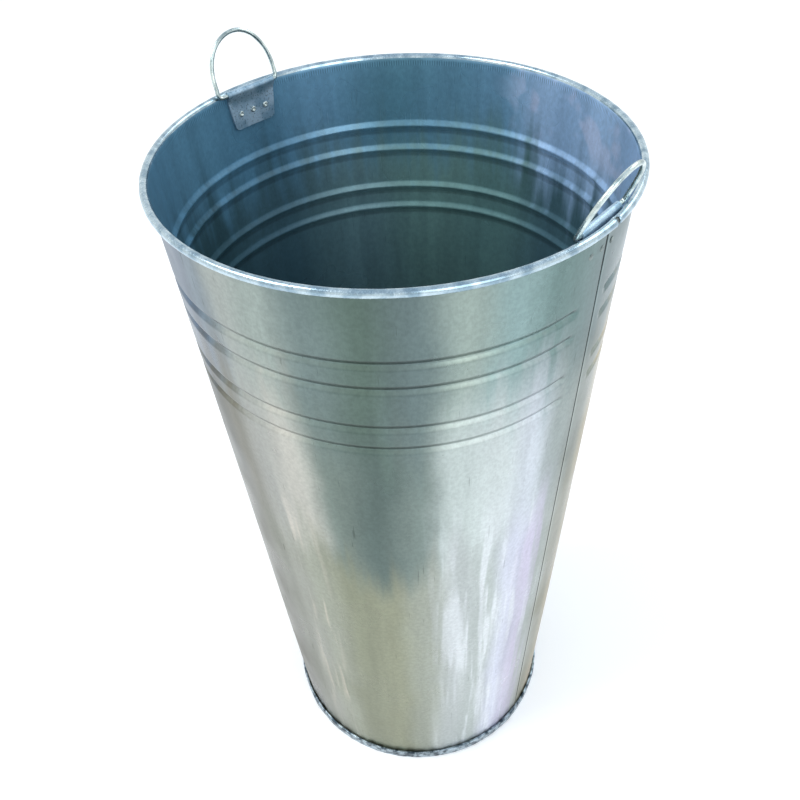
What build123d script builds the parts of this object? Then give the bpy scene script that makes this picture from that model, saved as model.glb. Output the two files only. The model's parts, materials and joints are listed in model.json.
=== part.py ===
"""Tall florist bucket in galvanised sheet, with two wire drop rings.

Origin: centre of the base, on the ground. +Z is up. +X points at the side seam, which the
right-hand ring covers; the left-hand ring is across the bucket. All sizes are in millimetres.
"""
from build123d import *

import os
from math import asin, atan, cos, degrees, radians, sin, tan

# Driving dimensions
HEIGHT = 500.0
RIM_DIA = 273.5
BASE_DIA = 215.0
SHEET = 0.6
FOLD_GAP = 0.1

# Rolled rim
RIM_ROLL_R = 2.4
RIM_WIRE_GAP = 0.05
RIM_ROLL_TAIL = 290.0
RIM_JOINT_WIDTH = 3.4
RIM_JOINT_OFFSET = 5.2

# Pressed beads, in two pairs, measured up from the ground
BEAD_HEIGHTS = (452.7, 435.9, 408.1, 392.1)
BEAD_DEPTH = 1.7
BEAD_HALF_WIDTH = 3.5
BEAD_END_ANGLE = 7.0
BEAD_END_SCALE = 0.98

# Folded base seam
BASE_SEAM_HEIGHT = 8.0
FLOOR_HEIGHT = 7.0
HOOK_OVERLAP = 4.0
UPRIGHT_TOP = 10.0

# Folded side seam
SEAM_HALF_FOLD = 2.8
SEAM_HALF_CUT = 5.0
SEAM_TOP = 472.0
SEAM_LAP = 0.5

# Drop rings and their clips
RING_ANGLES = {"right": 0.0, "left": 174.5}
RING_LEANS = {"right": 22.5, "left": 14.5}
RING_SHIFTS = {"right": 0.0, "left": 1.4}
RING_WIRE_R = 1.3
RING_HALF_WIDTH = 22.2
RING_LEG = 8.0
RING_HEIGHT = 34.1
RING_BEND_R = 2.4
BAR_CLEARANCE = 0.05
PIVOT_HEIGHT = 498.6
CLIP_SHEET = 0.8
CLIP_TOP_HALF = 17.5
CLIP_FOOT_HALF = 15.0
CLIP_LENGTH = 23.5
CLIP_CORNER_R = 2.5
CLIP_WRAP_END = 210.0
CLIP_CLOSE = 5.0

# Tubular rivets
RIVET_DROP = 14.0
RIVET_SPACING = 9.5
RIVET_SHANK_R = 1.2
RIVET_HEAD_R = 2.0
RIVET_ROLL_R = 0.6
RIVET_TAIL_H = 0.4
RIVET_BORE_R = 0.7
RIVET_FIT = 0.03

# Worked-out sizes
LAYER = SHEET + FOLD_GAP
FOLD_R = LAYER
HALF_SHEET = SHEET / 2
BASE_R = BASE_DIA / 2
ROLL_R = RIM_DIA / 2 - RIM_ROLL_R
ROLL_Z = HEIGHT - RIM_ROLL_R
ROLL_MID = RIM_ROLL_R - HALF_SHEET
UPRIGHT_R = BASE_R - 3 * LAYER - HALF_SHEET
HOOK_Z = LAYER + HALF_SHEET + FOLD_R
TAPER = atan((ROLL_R - ROLL_MID - UPRIGHT_R) / (ROLL_Z - UPRIGHT_TOP))
WALL_TOP_R = ROLL_R - ROLL_MID * cos(TAPER)
WALL_TOP_Z = ROLL_Z + ROLL_MID * sin(TAPER)
BEAD_R = (BEAD_HALF_WIDTH**2 + BEAD_DEPTH**2) / (2 * BEAD_DEPTH)
CLIP_BORE_R = RING_WIRE_R + BAR_CLEARANCE
CLIP_BARREL_R = CLIP_BORE_R + CLIP_SHEET
ROLL_INSIDE_R = ROLL_R - RIM_ROLL_R
PIVOT_R = ROLL_INSIDE_R * cos(asin(CLIP_TOP_HALF / ROLL_INSIDE_R)) - CLIP_BARREL_R - FOLD_GAP


def wall_r(z):
    """Radius of the middle of the sheet at height z on the tapered wall."""
    return WALL_TOP_R - (WALL_TOP_Z - z) * tan(TAPER)


def radial_plane(angle):
    """Upright plane through the bucket's axis: its x points outward at the angle, its y up."""
    a = radians(angle)
    return Plane(origin=(0, 0, 0), x_dir=(cos(a), sin(a), 0), z_dir=(sin(a), -cos(a), 0))


def beaded_form(face, bead_r):
    """Solid inside one face of the wall (+1 outer, -1 inner), less the four beads' round hoops.

    Each hoop stops short of the side seam, with a round end. Its centre is outside the wall.
    """
    d = face * HALF_SHEET
    wall_end = (WALL_TOP_R + d * cos(TAPER), WALL_TOP_Z - d * sin(TAPER))
    apex = (0, WALL_TOP_Z + WALL_TOP_R * tan(TAPER))
    end = radians(BEAD_END_ANGLE)
    with BuildPart() as form:
        with BuildSketch(Plane.XZ):
            Polygon((0, HOOK_Z), (UPRIGHT_R + d, HOOK_Z), (UPRIGHT_R + d, UPRIGHT_TOP), wall_end, apex,
                    align=None)
        revolve(axis=Axis.Z)
        for z in BEAD_HEIGHTS:
            r = wall_r(z) + HALF_SHEET + BEAD_R - BEAD_DEPTH
            with BuildSketch(radial_plane(BEAD_END_ANGLE)):
                with Locations((r, z)):
                    Circle(bead_r)
            revolve(axis=Axis.Z, revolution_arc=360 - 2 * BEAD_END_ANGLE, mode=Mode.SUBTRACT)
            with Locations((r * cos(end), r * sin(end), z), (r * cos(end), -r * sin(end), z)):
                Sphere(bead_r * BEAD_END_SCALE, mode=Mode.SUBTRACT)
    return form.part


# Where a handle sits at angle 0, and the holes for its rivets through the clip and the wall
pivot = Vector(PIVOT_R, 0, PIVOT_HEIGHT)
clip_plane = Plane(origin=pivot, x_dir=(cos(TAPER), 0, -sin(TAPER)), z_dir=(0, -1, 0))
face_plane = Plane(origin=pivot, x_dir=(0, 1, 0), z_dir=(cos(TAPER), 0, -sin(TAPER)))
rivet_pitch = [i * RIVET_SPACING for i in (-1, 0, 1)]
with BuildPart() as rivet_holes:
    with BuildSketch(face_plane):
        with Locations(*[(y, -RIVET_DROP) for y in rivet_pitch]):
            Circle(RIVET_SHANK_R + RIVET_FIT)
    extrude(amount=3 * CLIP_BARREL_R, both=True)

# Body shell: one sheet with its rolled rim, pressed beads, side seam and bottom hook
hook_r = UPRIGHT_R + 2 * LAYER
hook_top = BASE_SEAM_HEIGHT - SHEET - LAYER
hook_mid_r = (UPRIGHT_R + hook_r) / 2

seam_low = Vector(wall_r(UPRIGHT_TOP) + HALF_SHEET / cos(TAPER), 0, UPRIGHT_TOP)
seam_run = (SEAM_TOP - UPRIGHT_TOP) / cos(TAPER)
seam_plane = Plane(origin=seam_low, x_dir=(cos(TAPER), 0, -sin(TAPER)), z_dir=(sin(TAPER), 0, cos(TAPER)))
layers = [-HALF_SHEET - i * LAYER for i in range(4)]
seam_edge = SEAM_HALF_CUT + SEAM_LAP
seam_step = SEAM_HALF_FOLD + FOLD_R + LAYER + FOLD_GAP / 2
hook_end = SEAM_HALF_FOLD - FOLD_R / 2 - FOLD_GAP

with BuildPart() as body_shell:
    add(beaded_form(1, BEAD_R))
    add(beaded_form(-1, BEAD_R + SHEET), mode=Mode.SUBTRACT)
    with BuildSketch(Plane.XZ):
        with BuildLine():
            Line((hook_r, hook_top), (hook_r, HOOK_Z))
            CenterArc((hook_mid_r, HOOK_Z), FOLD_R, 0, -180)
        trace(line_width=SHEET)
        with BuildLine():
            CenterArc((ROLL_R, ROLL_Z), ROLL_MID, 180 - degrees(TAPER), -RIM_ROLL_TAIL)
        trace(line_width=SHEET)
    revolve(axis=Axis.Z)
    with Locations((ROLL_R + HALF_SHEET, RIM_JOINT_OFFSET, ROLL_Z)):
        Box(2 * ROLL_MID, RIM_JOINT_WIDTH, 4 * RIM_ROLL_R, mode=Mode.SUBTRACT)
    with Locations((0, 0, UPRIGHT_TOP)):
        Box(RIM_DIA, 2 * SEAM_HALF_CUT, SEAM_TOP - UPRIGHT_TOP,
            align=(Align.MIN, Align.CENTER, Align.MIN), mode=Mode.SUBTRACT)
    with BuildSketch(seam_plane.offset(-SEAM_LAP)):
        with BuildLine():
            Line((layers[0], -seam_edge), (layers[0], SEAM_HALF_FOLD))
            CenterArc((layers[1], SEAM_HALF_FOLD), FOLD_R, 0, 180)
            Line((layers[2], SEAM_HALF_FOLD), (layers[2], -hook_end))
        trace(line_width=SHEET)
        with BuildLine():
            FilletPolyline((layers[0], seam_edge), (layers[0], seam_step), (layers[3], seam_step),
                           (layers[3], -SEAM_HALF_FOLD), radius=SHEET)
            CenterArc((layers[2], -SEAM_HALF_FOLD), FOLD_R, 180, 180)
            Line((layers[1], -SEAM_HALF_FOLD), (layers[1], hook_end))
        trace(line_width=SHEET)
    extrude(amount=seam_run + 2 * SEAM_LAP)
    for angle in RING_ANGLES.values():
        add(rivet_holes.part, rotation=(0, 0, angle), mode=Mode.SUBTRACT)
body_shell.part.label = "body_shell"

# Sealing compound along the side seam, in the pocket of the fold
pocket_start = hook_end + RIM_WIRE_GAP
pocket_end = SEAM_HALF_FOLD + FOLD_R / 3
with BuildPart() as side_seam_seal:
    with BuildSketch(seam_plane):
        with Locations((layers[1], (pocket_start + pocket_end) / 2)):
            Rectangle(SHEET - FOLD_GAP, pocket_end - pocket_start)
    extrude(amount=seam_run)
side_seam_seal.part.label = "side_seam_seal"

# Wire inside the rolled rim
with BuildPart() as rim_wire:
    with BuildSketch(Plane.XZ):
        with Locations((ROLL_R, ROLL_Z)):
            Circle(RIM_ROLL_R - SHEET - RIM_WIRE_GAP)
    revolve(axis=Axis.Z)
rim_wire.part.label = "rim_wire"

# Base disc: raised floor, with its edge folded round the shell's bottom hook
outer_r = BASE_R - HALF_SHEET
inner_hook_r = UPRIGHT_R + LAYER
plug_r = UPRIGHT_R - LAYER
fold_z = BASE_SEAM_HEIGHT - HALF_SHEET - FOLD_R
fold_mid_r = (outer_r + inner_hook_r) / 2
with BuildPart() as base_disc:
    with BuildSketch(Plane.XZ):
        with BuildLine():
            FilletPolyline((0, FLOOR_HEIGHT - HALF_SHEET), (plug_r, FLOOR_HEIGHT - HALF_SHEET),
                           (plug_r, HALF_SHEET), (outer_r, HALF_SHEET), (outer_r, fold_z),
                           radius=SHEET)
            CenterArc((fold_mid_r, fold_z), FOLD_R, 0, 180)
            Line((inner_hook_r, fold_z), (inner_hook_r, fold_z - HOOK_OVERLAP))
        trace(line_width=SHEET)
    revolve(axis=Axis.Z)
base_disc.part.label = "base_disc"

# Sealing compound round the base seam, in the bottom of the shell's hook
seal_low = HOOK_Z + FOLD_GAP / 2
seal_high = fold_z - HOOK_OVERLAP - FOLD_GAP
with BuildPart() as base_seam_seal:
    with BuildSketch(Plane.XZ):
        with Locations((hook_mid_r, (seal_low + seal_high) / 2)):
            Rectangle(SHEET + FOLD_GAP, seal_high - seal_low)
    revolve(axis=Axis.Z)
base_seam_seal.part.label = "base_seam_seal"

# Ring clip, made at angle 0: a strap folded over the ring's bar, both ends down the wall
barrel_mid = CLIP_BARREL_R - CLIP_SHEET / 2
front_x = barrel_mid - CLIP_SHEET - BAR_CLEARANCE
wrap_end = (barrel_mid * cos(radians(CLIP_WRAP_END)), barrel_mid * sin(radians(CLIP_WRAP_END)))
with BuildPart() as clip:
    with BuildSketch(clip_plane):
        with BuildLine():
            Line((barrel_mid, -CLIP_LENGTH), (barrel_mid, 0))
            CenterArc((0, 0), barrel_mid, 0, CLIP_WRAP_END)
            Line(wrap_end, (front_x, -CLIP_CLOSE))
            Line((front_x, -CLIP_CLOSE), (front_x, -CLIP_LENGTH))
        trace(line_width=CLIP_SHEET)
    extrude(amount=CLIP_TOP_HALF, both=True)
    with BuildSketch(face_plane):
        with BuildLine():
            Polyline((-CLIP_TOP_HALF, CLIP_BARREL_R + 1), (-CLIP_TOP_HALF, -CLIP_CLOSE),
                     (-CLIP_FOOT_HALF, -CLIP_LENGTH), (CLIP_FOOT_HALF, -CLIP_LENGTH),
                     (CLIP_TOP_HALF, -CLIP_CLOSE), (CLIP_TOP_HALF, CLIP_BARREL_R + 1), close=True)
        make_face()
        fillet(vertices().group_by(Axis.Y)[0], CLIP_CORNER_R)
    extrude(amount=2 * CLIP_BARREL_R, both=True, mode=Mode.INTERSECT)
    add(rivet_holes.part, mode=Mode.SUBTRACT)

# Ring, made upright at angle 0: half the wire loop, then its mirror image
ring_plane = Plane(origin=pivot, x_dir=(0, 1, 0), z_dir=(1, 0, 0))
with BuildPart() as ring:
    with BuildLine(ring_plane):
        FilletPolyline((0, 0), (RING_HALF_WIDTH, 0), (RING_HALF_WIDTH, RING_LEG), radius=RING_BEND_R)
        EllipticalCenterArc((0, RING_LEG), RING_HALF_WIDTH, RING_HEIGHT - RING_LEG, 0, arc_size=90)
    with BuildSketch(Plane(origin=pivot, x_dir=(1, 0, 0), z_dir=(0, 1, 0))):
        Circle(RING_WIRE_R)
    sweep()
    mirror(about=Plane.XZ)

# Three tubular rivets at angle 0: rolled heads inside, flat tails formed against the wall outside
spots = [(y, -RIVET_DROP) for y in rivet_pitch]
rivet_face = front_x - CLIP_SHEET / 2
wall_face = (wall_r(pivot.Z - RIVET_DROP) + HALF_SHEET - PIVOT_R + RIVET_DROP * sin(TAPER)) * cos(TAPER)
tail_end = wall_face + RIVET_TAIL_H
with BuildPart() as rivets:
    with BuildSketch(face_plane.offset(tail_end)):
        with Locations(*spots):
            Circle(RIVET_HEAD_R)
    extrude(amount=-SHEET - RIVET_TAIL_H)
    add(beaded_form(1, BEAD_R), mode=Mode.SUBTRACT)
    with BuildSketch(face_plane.offset(tail_end)):
        with Locations(*spots):
            Circle(RIVET_SHANK_R)
    extrude(amount=rivet_face - RIVET_ROLL_R - tail_end)
    with Locations(face_plane.offset(rivet_face - RIVET_ROLL_R)):
        with Locations(*spots):
            Torus(RIVET_HEAD_R - RIVET_ROLL_R, RIVET_ROLL_R)
    with BuildSketch(face_plane.offset(wall_face - SHEET)):
        with Locations(*spots):
            Circle(RIVET_BORE_R)
    extrude(amount=-2 * CLIP_BARREL_R, mode=Mode.SUBTRACT)

# The two handles: the ring leans outward about its bar, then each set is turned to its place
handle_parts = []
for side, angle in RING_ANGLES.items():
    turn = (0, 0, angle)
    with BuildPart() as side_clip:
        add(clip.part, rotation=turn)
    side_clip.part.label = f"{side}_clip"
    with BuildPart() as leaning_ring:
        add(ring.part.rotate(Axis(origin=pivot, direction=(0, 1, 0)), RING_LEANS[side]))
    with BuildPart() as side_ring:
        add(leaning_ring.part.translate((0, RING_SHIFTS[side], 0)), rotation=turn)
    side_ring.part.label = f"{side}_ring"
    with BuildPart() as side_rivets:
        add(rivets.part, rotation=turn)
    side_rivets.part.label = f"{side}_clip_rivets"
    handle_parts += [side_clip, side_ring, side_rivets]

os.makedirs("parts", exist_ok=True)
for piece in (body_shell, side_seam_seal, rim_wire, base_disc, base_seam_seal, *handle_parts):
    export_step(piece.part, f"parts/{piece.part.label}.step")
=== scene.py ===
"""Looks of the florist bucket: finer sheet-metal and wire meshes, galvanised materials, studio."""
import json
import math

import bmesh
import bpy
import numpy as np
from mathutils import Matrix, Vector


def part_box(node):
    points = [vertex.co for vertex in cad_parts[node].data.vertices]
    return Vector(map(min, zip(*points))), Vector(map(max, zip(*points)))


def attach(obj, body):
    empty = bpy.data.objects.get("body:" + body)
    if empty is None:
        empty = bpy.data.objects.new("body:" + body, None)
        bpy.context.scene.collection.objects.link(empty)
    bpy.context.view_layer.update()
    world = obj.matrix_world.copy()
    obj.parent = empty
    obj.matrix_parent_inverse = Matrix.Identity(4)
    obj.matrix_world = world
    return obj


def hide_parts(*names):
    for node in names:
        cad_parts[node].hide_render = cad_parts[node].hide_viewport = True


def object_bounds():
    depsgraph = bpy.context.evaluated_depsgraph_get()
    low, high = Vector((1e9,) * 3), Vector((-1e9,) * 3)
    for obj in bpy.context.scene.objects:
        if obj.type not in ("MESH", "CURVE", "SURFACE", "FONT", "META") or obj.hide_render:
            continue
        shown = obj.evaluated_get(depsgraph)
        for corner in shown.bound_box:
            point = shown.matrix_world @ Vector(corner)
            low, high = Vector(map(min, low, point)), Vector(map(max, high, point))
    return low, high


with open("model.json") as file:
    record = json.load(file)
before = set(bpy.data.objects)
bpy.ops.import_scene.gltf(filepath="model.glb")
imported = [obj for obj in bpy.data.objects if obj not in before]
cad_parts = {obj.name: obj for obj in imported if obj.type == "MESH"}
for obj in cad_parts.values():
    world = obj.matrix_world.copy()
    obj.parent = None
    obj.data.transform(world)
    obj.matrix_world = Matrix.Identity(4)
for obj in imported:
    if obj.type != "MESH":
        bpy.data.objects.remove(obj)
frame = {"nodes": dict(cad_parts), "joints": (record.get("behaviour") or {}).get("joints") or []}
cad_low, cad_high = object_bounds()
MM = 0.001

# ---------------------------------------------------------------- sizes, from the frame

SHELL_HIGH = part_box("body_shell")[1]
WIRE_LOW, WIRE_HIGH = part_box("rim_wire")
BASE_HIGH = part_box("base_disc")[1]
WIRE_R = (WIRE_HIGH.z - WIRE_LOW.z) / 2
ROLL_C = WIRE_HIGH.x - WIRE_R
ROLL_Z = (WIRE_HIGH.z + WIRE_LOW.z) / 2
ROLL_R = SHELL_HIGH.z - ROLL_Z
SHEET = 0.6 * MM
FLOOR_TOP = 7 * MM
LAYER = SHEET + 0.1 * MM
BASE_R = BASE_HIGH.x
BAND_TOP = BASE_HIGH.z
UPRIGHT_R = BASE_R - 3 * LAYER - SHEET / 2
UPRIGHT_TOP = 10 * MM
ROLL_MID = ROLL_R - SHEET / 2
TAPER = math.atan((ROLL_C - ROLL_MID - UPRIGHT_R) / (ROLL_Z - UPRIGHT_TOP))
WALL_TOP_R = ROLL_C - ROLL_MID * math.cos(TAPER)
WALL_TOP_Z = ROLL_Z + ROLL_MID * math.sin(TAPER)
SEAM_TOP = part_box("side_seam_seal")[1].z

# Beads: their heights from the top down, depth, half width, and where one fades out beside the seam
BEADS = [z * MM for z in (452.7, 435.9, 408.1, 392.1)]
BEAD_DEPTH = 1.8 * MM
BEAD_HALF = 3.7 * MM
BEAD_END = (11.0 * MM, 17.0 * MM)

# Rim: how far round its wire the roll goes, the gap in it at the seam (place, half width, and up to
# which angle the wire shows), and the flare of the roll's cut end (size, fall-off, reach)
ROLL_TURN = 290
RIM_JOINT_Y = 5.2 * MM
RIM_JOINT_HALF = 1.7 * MM
RIM_JOINT_TOP = 112
RIM_FLARE = (0.10, 0.8 * MM, 12 * MM)

# Side seam's open line and folded lock, and the rolling tool's marks inside, under the rim
SEAM_LINE_Y = 3.9 * MM
SEAM_LOCK_HALF = 3.9 * MM
TICKS = 520
TICK_BAND = (493.0 * MM, 496.0 * MM)

# Handles: lean from upright in degrees, shift along the bar, then the wire ring, its clip and the rivets
HANDLES = {"right": {"lean": 22.5, "shift": 0.0}, "left": {"lean": 14.5, "shift": 1.4 * MM}}
RING_WIRE_R = 1.3 * MM
RING_HALF = 22.2 * MM
RING_LEG = 8.0 * MM
RING_HEIGHT = 34.1 * MM
RING_BEND = 2.4 * MM
CLIP_SHEET = 0.8 * MM
CLIP_BARREL_R = 2.15 * MM
CLIP_TOP_HALF = 17.5 * MM
CLIP_FOOT_HALF = 15.0 * MM
CLIP_LENGTH = 23.5 * MM
CLIP_CORNER = 2.5 * MM
CLIP_GAP = 0.05 * MM
CLIP_CURVE = 0.92
RIVET_DROP = 14.0 * MM
RIVET_SPACING = 9.5 * MM
RIVET_STEM_R = 1.2 * MM
RIVET_TAIL_R = 1.9 * MM

rng = np.random.default_rng(7)


# ---------------------------------------------------------------- mesh helpers

def smoothstep(low, high, x):
    """0 at low and 1 at high, eased between them; low may be the larger of the two."""
    t = np.clip((x - low) / (high - low), 0.0, 1.0)
    return t * t * (3 - 2 * t)


def new_object(name, vertices, faces, body, materials, face_slots=None):
    """A mesh piece that rides on a body, with its materials in slots."""
    mesh = bpy.data.meshes.new(name)
    mesh.from_pydata([tuple(v) for v in vertices], [], faces)
    for m in materials:
        mesh.materials.append(m)
    if face_slots is not None:
        mesh.polygons.foreach_set("material_index", face_slots)
    mesh.polygons.foreach_set("use_smooth", [True] * len(mesh.polygons))
    mesh.update()
    mesh.validate()
    obj = bpy.data.objects.new(name, mesh)
    bpy.context.scene.collection.objects.link(obj)
    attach(obj, body)
    return obj


def weld(obj):
    """Merges points that fall together, and turns all faces outward."""
    bm = bmesh.new()
    bm.from_mesh(obj.data)
    bmesh.ops.remove_doubles(bm, verts=bm.verts, dist=1e-7)
    bmesh.ops.recalc_face_normals(bm, faces=bm.faces)
    bm.to_mesh(obj.data)
    bm.free()


def grid_faces(rows, cols, close_rows, close_cols):
    """Quads of a grid of rows x cols points, wrapped round either way."""
    faces = []
    for i in range(rows if close_rows else rows - 1):
        for j in range(cols if close_cols else cols - 1):
            a, b = i * cols + j, i * cols + (j + 1) % cols
            c, d = ((i + 1) % rows) * cols + (j + 1) % cols, ((i + 1) % rows) * cols + j
            faces.append((a, b, c, d))
    return faces


def sheet_loop(line, thickness):
    """Closed outline round a centre line: points, side normals, which side, and index along the line."""
    line = np.array(line)
    tangent = np.gradient(line, axis=0)
    tangent /= np.linalg.norm(tangent, axis=1)[:, None]
    normal = np.stack([tangent[:, 1], -tangent[:, 0]], 1)
    n = len(line)
    points = np.concatenate([line + normal * thickness / 2, (line - normal * thickness / 2)[::-1]])
    side = np.array([1] * n + [-1] * n)
    index = np.array(list(range(n)) + list(range(n))[::-1])
    return points, side, index


def arc(centre, radius, start, end, steps):
    """Points of an arc, from start to end in degrees."""
    a = np.radians(np.linspace(start, end, steps))
    return [(centre[0] + radius * math.cos(t), centre[1] + radius * math.sin(t)) for t in a]


def ring_angles(step_deg, dense_half_mm, dense_step_mm):
    """Angles round the bucket, close together near the side seam at angle 0."""
    dense = dense_half_mm * MM / ROLL_C
    near = np.arange(-dense, dense, dense_step_mm * MM / ROLL_C)
    far = np.arange(dense, 2 * math.pi - dense, math.radians(step_deg))
    return np.concatenate([near, far])


# ---------------------------------------------------------------- materials

def srgb(r, g, b):
    """Linear colour from 0-255 screen values."""
    return tuple(((c / 255 + 0.055) / 1.055) ** 2.4 for c in (r, g, b)) + (1.0,)


class Tree:
    """Short names for building one node material."""

    def __init__(self, name):
        """Starts a material with the default shader."""
        self.material = bpy.data.materials.new(name)
        self.material.use_nodes = True
        self.tree = self.material.node_tree
        self.bsdf = self.tree.nodes["Principled BSDF"]

    def add(self, kind, inputs, settings=None):
        """A node, with its settings and with its inputs joined to sockets or set to values."""
        node = self.tree.nodes.new(kind)
        for key, value in (settings or {}).items():
            setattr(node, key, value)
        for key, value in inputs.items():
            self.link(value, node.inputs[key])
        return node

    def link(self, value, socket):
        """Joins an output to the socket, or sets the socket to a plain value."""
        if isinstance(value, bpy.types.NodeSocket):
            self.tree.links.new(value, socket)
        else:
            socket.default_value = value

    def math(self, operation, a, b=0.0, c=0.0):
        """One arithmetic step on numbers or outputs."""
        return self.add("ShaderNodeMath", {0: a, 1: b, 2: c}, {"operation": operation}).outputs[0]

    def mix(self, factor, a, b, blend="MIX"):
        """Colour a changed to b by the factor; 6 and 7 are the node's colour sockets."""
        settings = {"data_type": "RGBA", "blend_type": blend}
        return self.add("ShaderNodeMix", {0: factor, 6: a, 7: b}, settings).outputs[2]

    def shade(self, colour, factor):
        """The colour, made lighter or darker by a factor."""
        grey = self.add("ShaderNodeCombineColor", {0: factor, 1: factor, 2: factor}).outputs[0]
        return self.mix(1.0, colour, grey, "MULTIPLY")

    def noise(self, vector, scale, detail=3.0):
        """Smooth noise from 0 to 1; a larger scale is finer."""
        inputs = {"Vector": vector, "Scale": scale, "Detail": detail}
        return self.add("ShaderNodeTexNoise", inputs).outputs["Fac"]

    def map_range(self, value, low, high, out_low=0.0, out_high=1.0):
        """Value moved from one range to another, eased and held at both ends."""
        inputs = {"Value": value, "From Min": low, "From Max": high, "To Min": out_low, "To Max": out_high}
        return self.add("ShaderNodeMapRange", inputs, {"interpolation_type": "SMOOTHSTEP"}).outputs[0]

    def ramp(self, factor, stops):
        """Colour that changes with the factor, from (position, colour) stops."""
        node = self.add("ShaderNodeValToRGB", {0: factor})
        ramp = node.color_ramp
        ramp.interpolation = "EASE"
        ramp.elements.remove(ramp.elements[1])
        ramp.elements[0].position, ramp.elements[0].color = stops[0]
        for position, colour in stops[1:]:
            ramp.elements.new(position).color = colour
        return node.outputs[0]

    def stretched(self, position, along):
        """Position squeezed in height, so that a noise made from it runs in upright streaks."""
        return self.add("ShaderNodeMapping", {"Vector": position, "Scale": (1.0, 1.0, along)}).outputs[0]

    def finish(self, colour, rough, height, metallic, bump, distance):
        """Joins everything to the shader and returns the finished material."""
        self.link(colour, self.bsdf.inputs["Base Color"])
        self.link(rough, self.bsdf.inputs["Roughness"])
        self.bsdf.inputs["Metallic"].default_value = metallic
        node = self.add("ShaderNodeBump", {"Strength": bump, "Distance": distance, "Height": height})
        self.link(node.outputs[0], self.bsdf.inputs["Normal"])
        return self.material


def turn_at(angle):
    """Degrees round the bucket, counted from +X, as a turn from 0 to 1 that starts at -X."""
    return (angle + 180) / 360


def turn_stops(pairs):
    """Ramp stops from (degrees, colour); the last colour also starts the ramp, so that it closes at -X."""
    stops = sorted((turn_at(angle), srgb(*colour)) for angle, colour in pairs)
    return [(0.0, stops[-1][1])] + stops


# Tones round the wall, as (degrees, colour): painted reflections, what the sheet mirrors painted into its
# colour and kept soft by its spangle; inside, the sky's blue and the darker shade low down are painted too
TOP_TONES = [(-150, (150, 165, 165)), (-125, (84, 100, 116)), (-106, (74, 92, 110)), (-99, (112, 126, 134)),
             (-90, (152, 158, 152)), (-80, (152, 163, 156)), (-69, (112, 128, 125)), (-57, (92, 110, 101)),
             (-46, (101, 117, 116)), (-35, (147, 161, 153)), (-25, (138, 162, 160)), (-14, (109, 134, 130)),
             (7, (98, 115, 115)), (24, (140, 150, 150)), (60, (112, 130, 130)), (100, (160, 170, 165)),
             (150, (110, 128, 126))]
MID_TONES = [(-150, (150, 156, 146)), (-124, (104, 104, 90)), (-106, (84, 84, 74)), (-98, (112, 110, 96)),
             (-90, (156, 157, 150)), (-80, (192, 190, 180)), (-68, (116, 130, 122)), (-57, (90, 106, 101)),
             (-46, (118, 132, 126)), (-36, (190, 200, 196)), (-25, (196, 204, 202)), (-14, (202, 208, 214)),
             (-4, (156, 166, 162)), (7, (130, 136, 126)), (18, (178, 166, 138)), (30, (150, 152, 140)),
             (60, (132, 140, 128)), (100, (182, 186, 176)), (150, (126, 132, 120))]
LOW_TONES = [(-150, (140, 140, 122)), (-124, (100, 98, 78)), (-106, (78, 76, 58)), (-96, (120, 122, 108)),
             (-88, (150, 152, 140)), (-80, (152, 156, 140)), (-69, (136, 140, 117)), (-57, (144, 147, 124)),
             (-46, (156, 161, 148)), (-36, (184, 190, 188)), (-25, (182, 190, 186)), (-16, (212, 215, 228)),
             (-10, (196, 194, 212)), (-3, (170, 177, 172)), (8, (144, 142, 122)), (18, (172, 160, 132)),
             (30, (146, 148, 132)), (60, (140, 142, 122)), (100, (180, 182, 168)), (150, (132, 134, 114))]
INSIDE_TOP_TONES = [(-160, (92, 138, 164)), (-135, (86, 130, 156)), (-60, (104, 150, 180)),
                    (0, (132, 168, 204)), (45, (150, 182, 218)), (60, (168, 200, 236)),
                    (74, (150, 184, 220)), (84, (164, 198, 234)), (96, (112, 158, 188)),
                    (112, (100, 146, 170)), (130, (92, 140, 160)), (153, (116, 164, 194)),
                    (170, (88, 134, 160))]
INSIDE_LOW_TONES = [(-160, (58, 90, 100)), (-130, (50, 82, 88)), (-60, (70, 106, 116)),
                    (0, (72, 108, 120)), (50, (60, 94, 106)), (75, (78, 112, 124)),
                    (98, (102, 142, 142)), (122, (120, 160, 156)), (145, (118, 154, 160)),
                    (172, (76, 110, 122))]
# Heights in metres between which one list of tones turns into the next
OUTSIDE_LEVELS = ((0.27, 0.33), (0.375, 0.46))
INSIDE_LEVELS = ((0.41, 0.465),)


def around(t):
    """Position, its three parts, and the turn round the bucket as 0 to 1, starting at -X."""
    position = t.add("ShaderNodeTexCoord", {}).outputs["Object"]
    x, y, z = t.add("ShaderNodeSeparateXYZ", {0: position}).outputs
    turn = t.math("MULTIPLY_ADD", t.math("ARCTAN2", y, x), 1 / (2 * math.pi), 0.5)
    return position, x, y, z, turn


def bead_band(t, offset, low, high, soft):
    """1 between two offsets from a bead's middle, in half widths of the bead, with soft edges."""
    above = t.map_range(offset, low - soft, low + soft)
    below = t.map_range(offset, high + soft, high - soft)
    return t.math("MULTIPLY", above, below)


def groove_shade(t, x, y, z, outside):
    """Painted shade and highlight on the beads: outside, dark above a bead's middle and light below; inside,
    a light rib with a dark foot.
    """
    if outside:
        bands = [(0.0, 0.95, -0.34), (-0.75, 0.0, 0.30)]
    else:
        bands = [(-1.5, -0.95, -0.30), (-0.85, 1.0, 0.08)]
    change = 0.0
    for bead in BEADS:
        offset = t.math("DIVIDE", t.math("SUBTRACT", z, bead), BEAD_HALF)
        for low, high, amount in bands:
            change = t.math("MULTIPLY_ADD", bead_band(t, offset, low, high, 0.2), amount, change)
    from_seam = t.map_range(t.math("ABSOLUTE", y), *BEAD_END)
    on_bead = t.math("MAXIMUM", from_seam, t.math("LESS_THAN", x, 0.0))
    return t.math("MULTIPLY_ADD", change, on_bead, 1.0)


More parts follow.
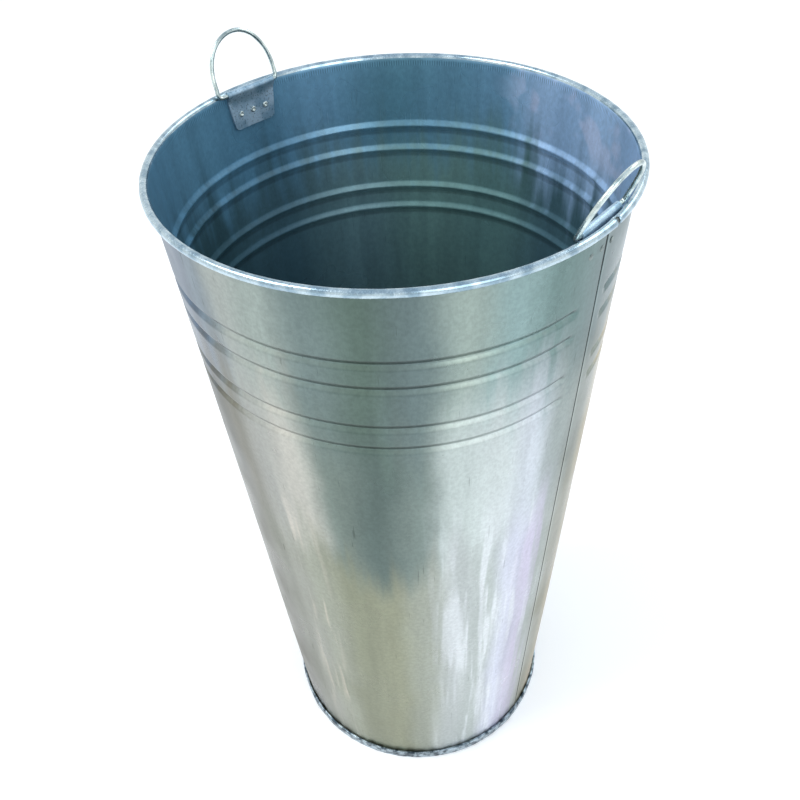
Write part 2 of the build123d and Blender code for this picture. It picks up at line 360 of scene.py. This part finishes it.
def seam_shade(t, x, y, z):
    """Dark open line of the side seam, wider near the rim, with a light strip beside it."""
    offset = t.math("SUBTRACT", y, SEAM_LINE_Y)
    width = t.map_range(z, 0.46, 0.482, 0.45 * MM, 0.85 * MM)
    line = t.math("LESS_THAN", t.math("ABSOLUTE", offset), width)
    edge_start = t.map_range(offset, 0.5 * MM, 0.9 * MM)
    edge_end = t.map_range(offset, 3.4 * MM, 1.8 * MM)
    edge = t.math("MULTIPLY", edge_start, edge_end)
    front = t.math("GREATER_THAN", x, 0.0)
    change = t.math("SUBTRACT", t.math("MULTIPLY", edge, 0.2), t.math("MULTIPLY", line, 0.8))
    return t.math("MULTIPLY_ADD", change, front, 1.0)


def tick_shade(t, z, turn):
    """Fine marks left by the rolling tool just under the rim."""
    ticks = t.math("SINE", t.math("MULTIPLY", turn, 2 * math.pi * TICKS))
    low, high = TICK_BAND
    soft = 0.5 * MM
    above = t.map_range(z, low - soft, low + soft)
    below = t.map_range(z, high + soft, high - soft)
    under = t.math("MULTIPLY", above, below)
    return t.math("MULTIPLY_ADD", t.math("MULTIPLY", ticks, under), 0.3, 1.0)


def scratches(t, position):
    """Fine dark hairlines running up the wall, and tiny specks."""
    lines = t.noise(t.stretched(position, 0.006), 800.0, 1.0)
    breaks = t.noise(position, 30.0, 2.0)
    hair = t.math("MULTIPLY", t.map_range(lines, 0.70, 0.76), t.map_range(breaks, 0.5, 0.6))
    speck = t.map_range(t.noise(position, 520.0, 1.0), 0.79, 0.83)
    return t.math("MAXIMUM", hair, speck)


def zone(t, value, centre, half, soft):
    """1 near a centre value, falling softly to 0 beyond the half width."""
    away = t.math("ABSOLUTE", t.math("SUBTRACT", value, centre))
    return t.map_range(away, half + soft, half)


def tongue(t, turn):
    """How far down the dark reflection at the front reaches below the middle tones."""
    reach = 35 * MM
    return t.math("MULTIPLY", zone(t, turn, turn_at(-57), 0.015, 0.045), reach)


def outside_glints(t, colour, position, z, turn):
    """Bright upright streaks: cool ones low on the right of the front, warm ones low on the left."""
    thin = t.map_range(t.noise(t.stretched(position, 0.04), 170.0, 2.0), 0.5, 0.7)
    wide = t.map_range(t.noise(t.stretched(position, 0.06), 80.0, 2.0), 0.5, 0.66)
    low = t.map_range(z, 0.36, 0.26)
    cool = t.math("MULTIPLY", t.math("MAXIMUM", thin, wide), zone(t, turn, turn_at(-22), 0.03, 0.04))
    warm = t.math("MULTIPLY", thin, zone(t, turn, turn_at(-84), 0.006, 0.02))
    lilac = t.math("MULTIPLY", wide, zone(t, turn, turn_at(-8), 0.008, 0.02))
    for factor, most, tint in ((cool, 0.6, (236, 240, 244)), (warm, 0.4, (240, 226, 208)),
                               (lilac, 0.55, (190, 176, 206))):
        colour = t.mix(t.math("MULTIPLY", t.math("MULTIPLY", factor, low), most), colour, srgb(*tint))
    return colour


def inside_pale_patches(t, colour, position, z, turn):
    """Pale bluish-white patches high on the inside, across from the viewer's left."""
    slanted = t.add("ShaderNodeMapping", {"Vector": position, "Rotation": (0.3, 0.5, 0.9), "Scale": (1, 0.35, 1)})
    patches = t.map_range(t.noise(slanted.outputs[0], 46.0, 2.0), 0.5, 0.62)
    where = t.math("MULTIPLY", zone(t, turn, turn_at(66), 0.05, 0.05), t.map_range(z, 0.452, 0.470))
    return t.mix(t.math("MULTIPLY", t.math("MULTIPLY", patches, where), 0.5), colour, srgb(212, 220, 250))


def wall_material(name, tones, levels, metallic, streak, grain, spot_scale, outside):
    """Galvanised wall: painted reflection tones round the bucket that change with height, streaked and
    lightly spangled.
    """
    t = Tree(name)
    position, x, y, z, turn = around(t)
    streaks = t.noise(t.stretched(position, 0.08), 95.0, 3.0)
    fine = t.noise(t.stretched(position, 0.3), 1400.0, 2.0)
    spangle = t.noise(position, spot_scale, 3.0)
    patch = t.noise(position, 16.0, 3.0)
    turned = t.math("MULTIPLY_ADD", t.math("SUBTRACT", patch, 0.5), 0.03, turn)
    height = t.math("MULTIPLY_ADD", t.math("SUBTRACT", streaks, 0.5), 0.10, z)
    height = t.math("ADD", height, tongue(t, turn)) if outside else height
    colour = t.ramp(turned, turn_stops(tones[0]))
    for level, tone in zip(levels, tones[1:]):
        colour = t.mix(t.map_range(height, *level), colour, t.ramp(turned, turn_stops(tone)))
    # Painted glints on the outside, pale bluish-white patches on the inside
    glints_or_patches = outside_glints if outside else inside_pale_patches
    colour = glints_or_patches(t, colour, position, z, turn)
    shade = t.math("MULTIPLY", t.map_range(streaks, 0.3, 0.7, 1 - streak, 1 + streak),
                   t.map_range(fine, 0.3, 0.7, 1 - grain, 1 + grain))
    shade = t.math("MULTIPLY", shade, t.map_range(spangle, 0.3, 0.7, 0.85, 0.97))
    shade = t.math("MULTIPLY", shade, groove_shade(t, x, y, z, outside))
    shade = t.math("MULTIPLY", shade, seam_shade(t, x, y, z) if outside else tick_shade(t, z, turn))
    marks = scratches(t, position)
    shade = t.math("MULTIPLY", shade, t.map_range(marks, 0.0, 1.0, 1.0, 0.75))
    rough = t.math("ADD", t.map_range(patch, 0.3, 0.7, 0.26, 0.40), t.math("MULTIPLY", marks, 0.15))
    relief = t.math("ADD", t.math("MULTIPLY", streaks, 0.7), t.math("MULTIPLY", spangle, 0.3))
    return t.finish(t.shade(colour, shade), rough, relief, metallic, 0.12, 0.0003)


def fitting_material(name, light, dark, scale, rough, metallic):
    """Zinc on a fitting or a wire: softly blotched and finely grained, duller in the hollows."""
    t = Tree(name)
    position = t.add("ShaderNodeTexCoord", {}).outputs["Object"]
    blotch = t.noise(position, scale, 3.0)
    fine = t.noise(position, scale * 9, 2.0)
    colour = t.ramp(blotch, [(0.34, srgb(*dark)), (0.62, srgb(*light))])
    colour = t.shade(colour, t.map_range(fine, 0.3, 0.7, 0.93, 1.07))
    roughness = t.map_range(fine, 0.3, 0.7, rough - 0.06, rough + 0.08)
    return t.finish(colour, roughness, fine, metallic, 0.2, 0.0001)


OUTSIDE = wall_material("galvanised_outside", (LOW_TONES, MID_TONES, TOP_TONES), OUTSIDE_LEVELS,
                        metallic=0.85, streak=0.07, grain=0.03, spot_scale=420.0, outside=True)
INSIDE = wall_material("galvanised_inside", (INSIDE_LOW_TONES, INSIDE_TOP_TONES), INSIDE_LEVELS,
                       metallic=0.25, streak=0.09, grain=0.05, spot_scale=300.0, outside=False)
RIM = fitting_material("rim_zinc", (190, 208, 216), (142, 166, 180), 120.0, 0.20, 0.9)
BAND = fitting_material("base_band_zinc", (168, 182, 190), (56, 70, 80), 210.0, 0.3, 0.85)
# The inside floor's teal is a painted reflection of the sky, as on the inside of the wall
FLOOR = fitting_material("floor_zinc", (120, 156, 162), (88, 124, 132), 24.0, 0.4, 0.3)
CLIP = fitting_material("clip_zinc", (172, 196, 212), (124, 156, 176), 90.0, 0.32, 0.5)
WIRE = fitting_material("ring_zinc", (212, 224, 220), (160, 176, 176), 150.0, 0.22, 0.9)
RIVET = fitting_material("rivet_zinc", (222, 230, 224), (136, 156, 162), 500.0, 0.25, 0.7)
TAIL = fitting_material("rivet_tail_zinc", (132, 144, 140), (88, 100, 98), 500.0, 0.4, 0.8)
DULL_WIRE = fitting_material("rim_wire_zinc", (96, 104, 104), (44, 52, 54), 300.0, 0.5, 0.8)
SEAL = fitting_material("sealing_compound", (62, 62, 66), (34, 34, 38), 400.0, 0.8, 0.0)


# ---------------------------------------------------------------- body shell

def wave(theta, z):
    """Slow unevenness of the rolled sheet, with small creases just above the base seam; sizes in mm."""
    swell = 0.18 * np.sin(3 * theta + 0.7) * np.sin(9 * z + 0.4)
    swell += 0.10 * np.sin(7 * theta + 14 * z + 2.0)
    swell += 0.05 * np.sin(13 * theta - 31 * z + 1.1)
    crease = np.sin(41 * theta + 3 * np.sin(5 * theta)) * np.sin(29 * theta + 1)
    crease *= np.exp(-np.maximum(z - BAND_TOP, 0) / (13 * MM))
    return (swell * smoothstep(0.0, 0.05, z) + 0.34 * crease) * MM


def shell_line():
    """Centre line of the sheet up the wall and round the roll, and how many points are on the wall."""
    beads_low, beads_high = 384 * MM, 462 * MM
    heights = np.concatenate([
        np.linspace(1.4 * MM, UPRIGHT_TOP, 8), np.arange(12 * MM, 40 * MM, 2 * MM),
        np.arange(40 * MM, beads_low, 6 * MM), np.arange(beads_low, beads_high, 0.6 * MM),
        np.arange(beads_high, ROLL_Z - 3 * MM, 2 * MM), [ROLL_Z - 2 * MM, WALL_TOP_Z]])
    line = [(UPRIGHT_R if z <= UPRIGHT_TOP else WALL_TOP_R - (WALL_TOP_Z - z) * math.tan(TAPER), z)
            for z in heights]
    start = 180 - math.degrees(TAPER)
    line += arc((ROLL_C, ROLL_Z), ROLL_MID, start, start - ROLL_TURN, 46)[1:]
    return line, len(heights)


def bead_relief(y, z, near):
    """How far the beads press the wall in; they fade out beside the side seam."""
    depth = np.zeros_like(z)
    for bead in BEADS:
        ramp = np.clip(1 - np.abs(z - bead) / BEAD_HALF, 0, 1)
        depth += BEAD_DEPTH * (ramp ** 1.15)
    return depth * np.where(near, smoothstep(*BEAD_END, np.abs(y)), 1.0)


def seam_relief(y, z, near, outer):
    """Side seam: a fine open line with a raised lip outside, and the flat lock inside."""
    gap = np.interp(z, [0.44, 0.485], [0.3 * MM, 0.7 * MM])
    groove = np.exp(-((y - SEAM_LINE_Y) / gap) ** 2) * near
    lip = smoothstep(SEAM_LINE_Y + 2.6 * MM, SEAM_LINE_Y + 0.4 * MM, y) * (y > SEAM_LINE_Y) * near
    soft = 0.2 * MM
    lock = smoothstep(SEAM_LOCK_HALF + soft, SEAM_LOCK_HALF - soft, np.abs(y)) * near
    lock *= smoothstep(SEAM_TOP + MM, SEAM_TOP - MM, z)
    lock *= smoothstep(UPRIGHT_TOP - MM, UPRIGHT_TOP + MM, z)
    return np.where(outer, -0.45 * MM * groove + 0.12 * MM * lip, -3 * LAYER * lock)


def roll_growth(theta, y, around_roll, near, on_wall, outer):
    """Factor on the roll's size: hand-worked, flared at its cut end, and cut away where the wire shows.

    The wall's outer skin is the one that faces the wire in the roll, and it keeps its size.
    """
    bare = (np.abs(y - RIM_JOINT_Y) < RIM_JOINT_HALF) & near & ~on_wall & (around_roll < RIM_JOINT_TOP)
    work = 0.94 + 0.012 * np.sin(61 * theta) * np.sin(23 * theta + 1) + 0.01 * np.sin(9 * theta)
    most, fall, reach = RIM_FLARE
    from_end = np.maximum(RIM_JOINT_Y - RIM_JOINT_HALF - y, 0)
    flare = 1 + most * np.exp(-from_end / fall) * near * (y < RIM_JOINT_Y)
    work = work * np.where(near & (np.abs(y) < reach), flare, 1.0)
    grow = np.where(bare, 0.55, work)
    faces_wire = outer & ~bare
    return np.where(on_wall | faces_wire, 1.0, grow)


def build_shell():
    """One sheet: upright foot, tapered wall with four beads, and the roll over the rim wire."""
    line, wall_points = shell_line()
    points, side, index = sheet_loop(line, SHEET)
    theta = ring_angles(0.75, 18, 0.35)
    T, R = np.meshgrid(theta, points[:, 0])
    Z = np.meshgrid(theta, points[:, 1])[1]
    on_wall = np.meshgrid(theta, index < wall_points)[1]
    outer = np.meshgrid(theta, side > 0)[1]
    Y = R * np.sin(T)
    near = np.cos(T) > 0
    below_roll = smoothstep(ROLL_Z, ROLL_Z - 12 * MM, Z)
    shift = wave(T, Z) * below_roll - bead_relief(Y, Z, near) + seam_relief(Y, Z, near, outer)
    R = R + shift * on_wall
    dr, dz = R - ROLL_C, Z - ROLL_Z
    around_roll = np.degrees(np.arctan2(dz, dr))
    grow = roll_growth(T, Y, around_roll, near, on_wall, outer)
    R = ROLL_C + dr * grow
    Z = ROLL_Z + dz * grow
    vertices = np.stack([R * np.cos(T), R * np.sin(T), Z], -1).reshape(-1, 3)
    rows, cols = R.shape
    outside_slot, inside_slot, rim_slot = 0, 1, 2
    wall_slots = np.where(side > 0, outside_slot, inside_slot)
    slots = np.repeat(np.where(index < wall_points, wall_slots, rim_slot), cols).astype(np.int32)
    shell = new_object("bucket_wall", vertices, grid_faces(rows, cols, True, True), "bucket",
                       [OUTSIDE, INSIDE, RIM], slots)
    weld(shell)
    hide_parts("body_shell")


# ---------------------------------------------------------------- base

def facets(theta, count, size):
    """Uneven flats round the foot, as left by the seaming tool."""
    knots = np.linspace(0, 2 * math.pi, count + 1)[:-1] + rng.uniform(-0.3, 0.3, count) * 2 * math.pi / count
    values = rng.uniform(-1, 1, count) * size
    return np.interp(theta, knots, values, period=2 * math.pi)


def build_base():
    """Bottom disc with its edge folded up round the wall's hook, crimped in uneven flats."""
    outer_r = BASE_R - SHEET / 2
    plug_r = UPRIGHT_R - LAYER
    floor_z = FLOOR_TOP - SHEET / 2
    fold_z = BAND_TOP - SHEET / 2 - LAYER
    bend = 0.6 * MM
    line = [(r, floor_z) for r in np.linspace(0.0, plug_r - 1.2 * MM, 12)]
    line += arc((plug_r - bend, floor_z - bend), bend, 90, 0, 5)
    floor_points = len(line)
    line += arc((plug_r + bend, SHEET / 2 + bend), bend, 180, 270, 5)
    line += arc((outer_r - bend, SHEET / 2 + bend), bend, -90, 0, 6)
    line += [(outer_r, z) for z in np.linspace(2 * MM, fold_z - 0.5 * MM, 7)]
    line += arc((outer_r - LAYER, fold_z), LAYER, 0, 180, 11)
    line += [(outer_r - 2 * LAYER, fold_z - 4 * MM)]
    points, side, index = sheet_loop(line, SHEET)
    theta = np.arange(0, 2 * math.pi, math.radians(0.5))
    T, R = np.meshgrid(theta, points[:, 0])
    Z = np.meshgrid(theta, points[:, 1])[1]
    band = smoothstep(outer_r - 1.0 * MM, outer_r, R) * smoothstep(0.0, 2.0 * MM, Z)
    push = facets(theta, 104, 0.36 * MM) + facets(theta, 44, 0.2 * MM)
    rise = facets(theta, 84, 0.5 * MM)
    R = R + band * (push + 0.3 * MM)[None, :]
    Z = Z + band * smoothstep(5 * MM, BAND_TOP, Z) * rise[None, :]
    vertices = np.stack([R * np.cos(T), R * np.sin(T), Z], -1).reshape(-1, 3)
    rows, cols = R.shape
    band_slot, floor_slot = 0, 1
    slots = np.repeat(np.where(index < floor_points, floor_slot, band_slot), cols).astype(np.int32)
    base = new_object("bucket_base", vertices, grid_faces(rows, cols, True, True), "bucket",
                      [BAND, FLOOR], slots)
    weld(base)
    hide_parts("base_disc")


# ---------------------------------------------------------------- handles

def handle_frame(side):
    """Pivot, and the outward, sideways and upward directions of one handle."""
    joint = next(j for j in frame["joints"] if j["name"] == f"{side}_ring_swing")
    pivot = np.array(joint["pos_m"])
    sideways = np.array(joint["axis"])
    up = np.array([0.0, 0.0, 1.0])
    outward = np.cross(sideways, up)
    return pivot, outward, sideways, up


def wall_directions(outward, up):
    """Up the tapered wall, and out through it."""
    up_wall = up * math.cos(TAPER) + outward * math.sin(TAPER)
    through = outward * math.cos(TAPER) - up * math.sin(TAPER)
    return up_wall, through


def wall_sag(pivot, y):
    """How far the wall's curve stands out at y from a handle's middle, counted from the clip's corners."""
    wall_r = np.linalg.norm(pivot[:2]) + CLIP_BARREL_R
    return np.sqrt(wall_r ** 2 - y ** 2) - math.sqrt(wall_r ** 2 - CLIP_TOP_HALF ** 2)


def build_ring(side):
    """D-shaped wire loop: straight bar, two tight bends, and an arched bow."""
    pivot, outward, sideways, up = handle_frame(side)
    lean = math.radians(HANDLES[side]["lean"])
    rise = outward * math.sin(lean) + up * math.cos(lean)
    b = RING_BEND
    half = [(x, 0.0) for x in np.linspace(0, RING_HALF - b, 8)]
    half += arc((RING_HALF - b, b), b, -90, 0, 9)[1:]
    half += [(RING_HALF, h) for h in np.linspace(b, RING_LEG, 8)[1:]]
    a = np.linspace(0, math.pi / 2, 26)[1:]
    half += [(RING_HALF * math.cos(t), RING_LEG + (RING_HEIGHT - RING_LEG) * math.sin(t)) for t in a]
    left = [(-x, y) for x, y in half[1:-1]][::-1]
    path = np.array(half + left)
    tangent = np.roll(path, -1, 0) - np.roll(path, 1, 0)
    tangent /= np.linalg.norm(tangent, axis=1)[:, None]
    across = np.stack([tangent[:, 1], -tangent[:, 0]], 1)
    bow = np.sin(np.linspace(0, 2 * math.pi, len(path), endpoint=False) * 3 + 1)
    bow = 0.18 * MM * bow * (path[:, 1] > RING_LEG / 2)
    steps = 20
    vertices = []
    flat = np.cross(sideways, rise)
    for (u, v), (cu, cv), wobble in zip(path, across, bow):
        centre = pivot + sideways * (u + wobble + HANDLES[side]["shift"]) + rise * v
        out = sideways * cu + rise * cv
        for k in range(steps):
            a = 2 * math.pi * k / steps
            vertices.append(centre + RING_WIRE_R * (out * math.cos(a) + flat * math.sin(a)))
    faces = grid_faces(len(path), steps, True, True)
    ring = new_object(f"{side}_drop_ring", vertices, faces, f"{side}_ring", [WIRE])
    weld(ring)
    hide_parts(f"{side}_ring")


def clip_line():
    """Centre line of the strap: up the wall, over the bar, and down the front."""
    mid = CLIP_BARREL_R - CLIP_SHEET / 2
    front = mid - CLIP_SHEET - CLIP_GAP
    line = [(mid, -d) for d in np.linspace(CLIP_LENGTH, 1.0 * MM, 24)]
    line += arc((0, 0), mid, 0, 210, 30)
    line += [(front - 0.35 * MM, -3.9 * MM)]
    line += [(front, -d) for d in np.linspace(5.0 * MM, CLIP_LENGTH, 22)]
    return line


def clip_half_width(drop):
    """Half width of the strap at a drop below the bar: tapered, with rounded foot corners."""
    half = np.interp(drop, [5 * MM, CLIP_LENGTH], [CLIP_TOP_HALF, CLIP_FOOT_HALF])
    to_end = max(CLIP_LENGTH - drop, 0.0)
    if to_end < CLIP_CORNER:
        half -= CLIP_CORNER - math.sqrt(max(CLIP_CORNER ** 2 - (CLIP_CORNER - to_end) ** 2, 0))
    return half


def build_clip(side):
    """Sheet strap folded over the ring's bar; below the barrel both layers follow the wall's curve."""
    pivot, outward, sideways, up = handle_frame(side)
    up_wall, through = wall_directions(outward, up)
    line = clip_line()
    points, _, index = sheet_loop(line, CLIP_SHEET)
    mid_line = np.array(line)[index]
    u = np.linspace(-1, 1, 41)
    vertices = []
    for (x, h), (_, mid_h) in zip(points, mid_line):
        drop = max(-mid_h, 0.0)
        y = u * clip_half_width(drop)
        curve = float(smoothstep(2 * MM, 9 * MM, drop)) * CLIP_CURVE
        for yi, sag in zip(y, wall_sag(pivot, y)):
            vertices.append(pivot + through * (x + sag * curve) + up_wall * h + sideways * yi)
    rows, cols = len(points), len(u)
    faces = grid_faces(rows, cols, True, False)
    # The strap's two side edges, from the outer skin to the inner one
    for i in range(rows // 2 - 1):
        a, b = i, rows - 1 - i
        for j in (0, cols - 1):
            faces.append((a * cols + j, (a + 1) * cols + j, (b - 1) * cols + j, b * cols + j))
    clip = new_object(f"{side}_ring_clip", vertices, faces, "bucket", [CLIP])
    weld(clip)
    clip.data.set_sharp_from_angle(angle=math.radians(40))
    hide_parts(f"{side}_clip")


def rivet_profiles():
    """Head and tail of a rivet as (distance along it, radius), from the inside of the bucket outward."""
    face = CLIP_BARREL_R - 2 * CLIP_SHEET - CLIP_GAP
    crater = [(-0.1, 0.0), (-0.1, 0.15), (-0.1, 0.55)]
    rolled_edge = arc((-0.5, 1.25), 0.65, -130, -325, 14)
    head = [(face + x * MM, r * MM) for x, r in crater + rolled_edge]
    back = face + 2 * CLIP_SHEET + SHEET + 0.18 * MM
    tail = [(face + 0.1 * MM, RIVET_STEM_R), (back, RIVET_STEM_R), (back, RIVET_TAIL_R),
            (back + 0.16 * MM, RIVET_TAIL_R - 0.2 * MM), (back + 0.2 * MM, RIVET_STEM_R),
            (back + 0.1 * MM, 0.0)]
    return head, tail


def build_rivets(side):
    """Three tubular rivets: rolled crater heads inside, low flat tails outside."""
    pivot, outward, sideways, up = handle_frame(side)
    up_wall, through = wall_directions(outward, up)
    wall_r = np.linalg.norm(pivot[:2]) + CLIP_BARREL_R
    head, tail = rivet_profiles()
    profile = head + tail
    steps = 20
    spots = (-RIVET_SPACING, 0.0, RIVET_SPACING)
    vertices, faces = [], []
    for spot in spots:
        lean = spot / wall_r
        axis = through * math.cos(lean) + sideways * math.sin(lean)
        side_dir = sideways * math.cos(lean) - through * math.sin(lean)
        origin = pivot - up_wall * RIVET_DROP + sideways * spot + through * wall_sag(pivot, spot) * CLIP_CURVE
        start = len(vertices)
        for x, r in profile:
            for k in range(steps):
                a = 2 * math.pi * k / steps
                vertices.append(origin + axis * x + r * (side_dir * math.cos(a) + up_wall * math.sin(a)))
        faces += [tuple(start + v for v in f) for f in grid_faces(len(profile), steps, False, True)]
    per_rivet = [0] * ((len(head) - 1) * steps) + [1] * (len(tail) * steps)
    rivets = new_object(f"{side}_rivets", vertices, faces, "bucket", [RIVET, TAIL], per_rivet * len(spots))
    weld(rivets)
    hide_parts(f"{side}_clip_rivets")


# ---------------------------------------------------------------- studio

def area_light(name, location, target, size, power, colour):
    """A rectangular soft light, turned to its target."""
    light = bpy.data.lights.new(name, "AREA")
    light.shape = "RECTANGLE"
    light.size, light.size_y = size
    light.energy = power
    light.color = colour
    obj = bpy.data.objects.new(name, light)
    obj.location = location
    obj.rotation_euler = (Vector(target) - Vector(location)).to_track_quat("-Z", "Y").to_euler()
    bpy.context.scene.collection.objects.link(obj)


def build_studio():
    """Plain pale floor, a soft white surround and three large soft lights."""
    bpy.ops.mesh.primitive_plane_add(size=40.0, location=(0, 0, 0))
    floor = bpy.context.object
    floor.name = "studio_floor"
    t = Tree("studio_floor")
    t.bsdf.inputs["Base Color"].default_value = (0.92, 0.92, 0.92, 1)
    t.bsdf.inputs["Roughness"].default_value = 0.9
    t.bsdf.inputs["Specular IOR Level"].default_value = 0.1
    t.bsdf.inputs["Emission Color"].default_value = (1, 1, 1, 1)
    t.bsdf.inputs["Emission Strength"].default_value = 0.16
    floor.data.materials.append(t.material)
    build_world()
    middle = (0, 0, cad_high.z / 2)
    area_light("key", (-0.9, -1.2, 2.2), middle, (1.2, 1.2), 26.0, (1.0, 0.99, 0.97))
    area_light("fill", (1.6, -0.6, 1.4), middle, (1.0, 1.4), 9.0, (0.92, 0.96, 1.0))
    area_light("back", (0.4, 1.6, 1.8), (0, 0, cad_high.z), (1.4, 0.8), 10.0, (0.9, 0.95, 1.0))


def build_world():
    """White to the camera; to the metal, a pale horizon under a darker blue sky."""
    world = bpy.data.worlds.new("studio")
    bpy.context.scene.world = world
    world.use_nodes = True
    nodes, links = world.node_tree.nodes, world.node_tree.links
    direction = nodes.new("ShaderNodeTexCoord")
    split = nodes.new("ShaderNodeSeparateXYZ")
    links.new(direction.outputs["Generated"], split.inputs[0])
    sky = nodes.new("ShaderNodeValToRGB")
    sky.color_ramp.elements[0].position = 0.15
    sky.color_ramp.elements[0].color = (1.0, 1.0, 0.98, 1)
    sky.color_ramp.elements[1].position = 0.85
    sky.color_ramp.elements[1].color = (0.62, 0.70, 0.80, 1)
    links.new(split.outputs["Z"], sky.inputs[0])
    seen = nodes.new("ShaderNodeLightPath")
    choice = nodes.new("ShaderNodeMix")
    choice.data_type = "RGBA"
    choice.inputs[7].default_value = (1, 1, 1, 1)
    links.new(seen.outputs["Is Camera Ray"], choice.inputs[0])
    links.new(sky.outputs[0], choice.inputs[6])
    links.new(choice.outputs[2], nodes["Background"].inputs["Color"])
    nodes["Background"].inputs["Strength"].default_value = 1.05


def build_camera():
    """A close view from above the rim, with the bucket a little turned in the frame."""
    azimuth, distance, height = 41.8, 0.4371, 0.7121
    turn, dip, roll = 0.51, 42.43, -3.38
    data = bpy.data.cameras.new("camera")
    data.sensor_width = 36.0
    data.lens = 38.46
    data.clip_start = 0.01
    camera = bpy.data.objects.new("camera", data)
    a = math.radians(azimuth)
    camera.location = (distance * math.sin(a), -distance * math.cos(a), height)
    look = Matrix.Rotation(math.radians(azimuth + turn), 3, "Z")
    look @= Matrix.Rotation(math.radians(90 - dip), 3, "X")
    look @= Matrix.Rotation(math.radians(roll), 3, "Z")
    camera.rotation_euler = look.to_euler()
    bpy.context.scene.collection.objects.link(camera)
    bpy.context.scene.camera = camera


def paint(node, material):
    """Gives a CAD node that stays its material."""
    obj = frame["nodes"][node]
    obj.data.materials.clear()
    obj.data.materials.append(material)


build_shell()
build_base()
for handle in HANDLES:
    build_ring(handle)
    build_clip(handle)
    build_rivets(handle)
paint("rim_wire", DULL_WIRE)
paint("base_seam_seal", SEAL)
paint("side_seam_seal", SEAL)
build_studio()
build_camera()
bpy.context.scene.view_settings.view_transform = "Standard"
